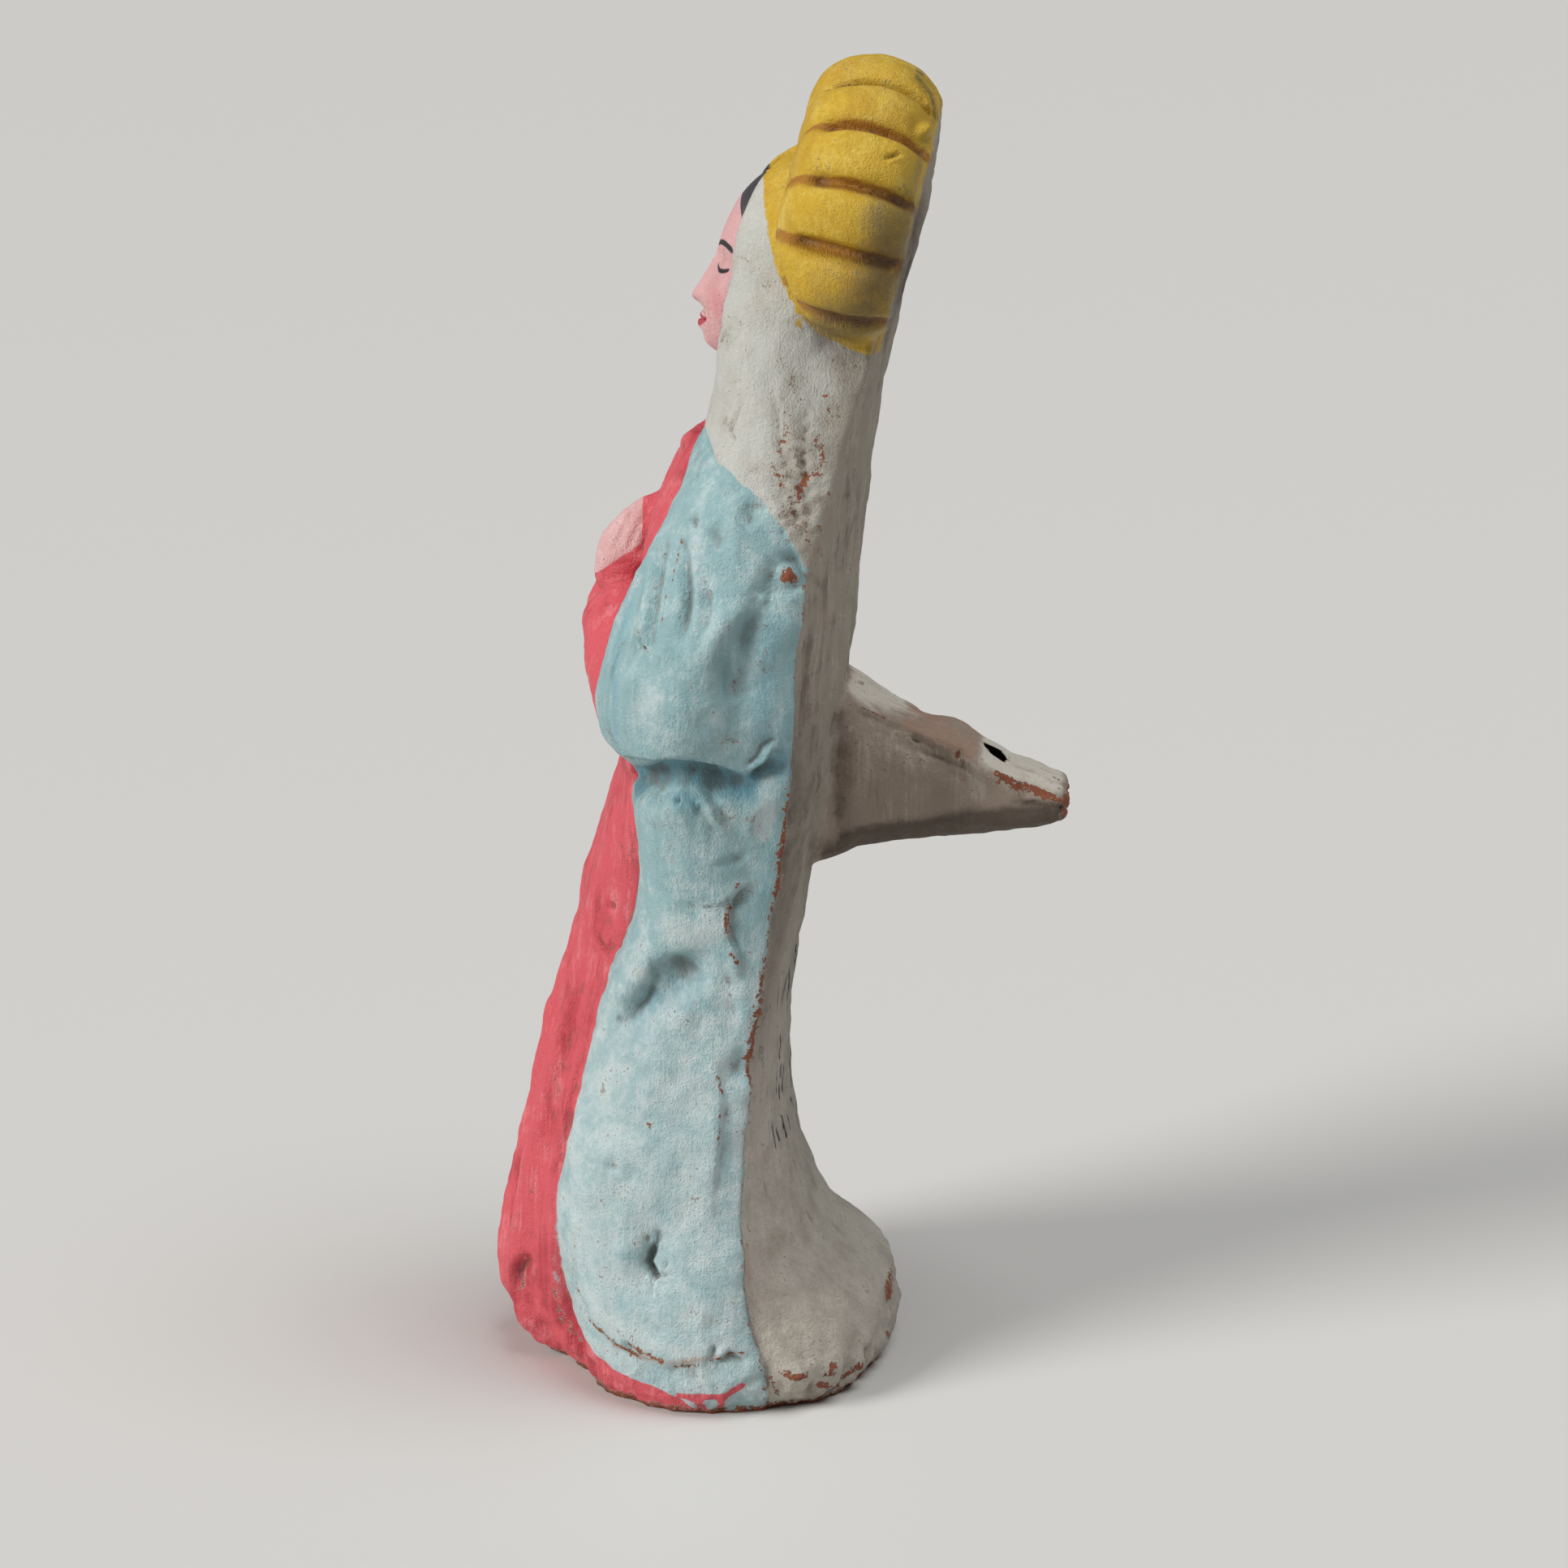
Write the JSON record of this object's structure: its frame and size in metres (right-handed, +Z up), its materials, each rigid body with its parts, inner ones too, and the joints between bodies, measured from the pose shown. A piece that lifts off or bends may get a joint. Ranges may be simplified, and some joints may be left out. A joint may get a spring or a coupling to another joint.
{
  "type": "ceramic madonna whistle",
  "caption": "Painted terracotta whistle shaped as a veiled, robed figure with joined hands and a fluted halo, standing on its hem, with a bill mouthpiece on its back.",
  "frame": {"origin": "on the ground under the middle of the figure's foot", "axes": "+Z up, the figure faces -Y with its left side at +X, and the whistle's bill points along +Y"},
  "size_m": [0.0755, 0.0893, 0.2],
  "materials": {
    "painted_terracotta": "matt hand-painted colours on unglazed red clay: light blue mantle, coral dress, off-white veil and back, yellow halo"
  },
  "bodies": {
    "root": {"madonna_whistle": "painted_terracotta"}
  },
  "joints": []
}
